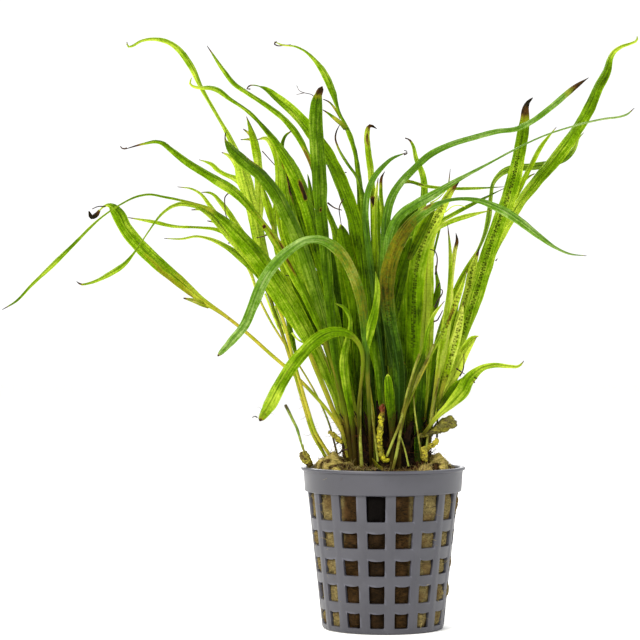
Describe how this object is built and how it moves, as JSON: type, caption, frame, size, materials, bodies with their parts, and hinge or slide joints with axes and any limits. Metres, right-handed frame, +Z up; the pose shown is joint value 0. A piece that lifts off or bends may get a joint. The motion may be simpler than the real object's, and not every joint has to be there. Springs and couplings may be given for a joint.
{
  "type": "potted java fern",
  "caption": "Narrow-leaf java fern in a grey net pot: long arching green leaves grow from dark roots on rockwool that fills a slotted plastic pot.",
  "frame": {"origin": "centre of the pot's flat base", "axes": "+Z up along the pot's axis, -Y towards the picture's viewer, +X to the viewer's right"},
  "size_m": [0.2079, 0.106, 0.198],
  "materials": {
    "net_pot_plastic": "satin moulded mid-grey plastic",
    "rockwool": "yellow-beige mineral fibre with moss and brown roots, very rough",
    "old_roots": "dark brown old leaf bases and roots, rough and fibrous",
    "rhizome_yellow": "yellow-green rhizome with dark scales",
    "rhizome_grey": "grey-brown rhizome skin over olive, pale cut face",
    "leaf_pale": "thin pale yellow-green leaf, translucent, soft sheen",
    "leaf_green": "fresh green leaf with spore spots, soft sheen",
    "leaf_dark": "dark green leaf, soft sheen",
    "leaf_blue_green": "blue-green leaf underside, satin sheen",
    "leaf_olive": "olive to brown ageing leaf, soft sheen"
  },
  "bodies": {
    "root": {"bud_left": "rhizome_yellow", "leaf_centre_01": "leaf_green", "leaf_centre_02": "leaf_green", "leaf_centre_03": "leaf_pale", "leaf_centre_04": "leaf_green", "leaf_centre_07": "leaf_pale", "leaf_centre_08": "leaf_blue_green", "leaf_centre_09": "leaf_green", "leaf_centre_13": "leaf_green", "leaf_left_01": "leaf_green", "leaf_left_02": "leaf_green", "leaf_left_03": "leaf_olive", "leaf_left_04": "leaf_green", "leaf_left_05": "leaf_green", "leaf_left_06": "leaf_dark", "leaf_left_07": "leaf_dark", "leaf_left_08": "leaf_green", "leaf_left_09": "leaf_green", "leaf_left_10": "leaf_olive", "leaf_left_11": "leaf_green", "leaf_left_12": "leaf_pale", "leaf_left_13": "leaf_green", "leaf_left_14": "leaf_blue_green", "leaf_left_15": "leaf_green", "leaf_left_16": "leaf_pale", "leaf_left_17": "leaf_pale", "leaf_left_18": "leaf_pale", "leaf_left_19": "leaf_dark", "leaf_left_20": "leaf_pale", "leaf_left_21": "leaf_pale", "leaf_left_22": "leaf_dark", "leaf_right_01": "leaf_green", "leaf_right_02": "leaf_blue_green", "leaf_right_03": "leaf_green", "leaf_right_04": "leaf_blue_green", "leaf_right_05": "leaf_blue_green", "leaf_right_06": "leaf_green", "leaf_right_10": "leaf_dark", "leaf_right_11": "leaf_pale", "leaf_right_12": "leaf_green", "leaf_right_13": "leaf_pale", "leaf_right_14": "leaf_pale", "leaf_right_15": "leaf_green", "leaf_right_16": "leaf_olive", "leaf_right_17": "leaf_olive", "leaf_right_18": "leaf_pale", "leaf_right_19": "leaf_green", "leaf_right_20": "leaf_green", "leaf_right_21": "leaf_pale", "leaf_right_22": "leaf_green", "leaf_right_23": "leaf_green", "net_pot": "net_pot_plastic", "rhizome_centre": "rhizome_yellow", "rhizome_cut": "rhizome_grey", "rhizome_knob": "rhizome_yellow", "rhizome_left": "rhizome_yellow", "rhizome_side": "rhizome_yellow", "rockwool_plug": "rockwool", "root_mass": "old_roots", "stalk_left": "leaf_olive"}
  },
  "joints": []
}
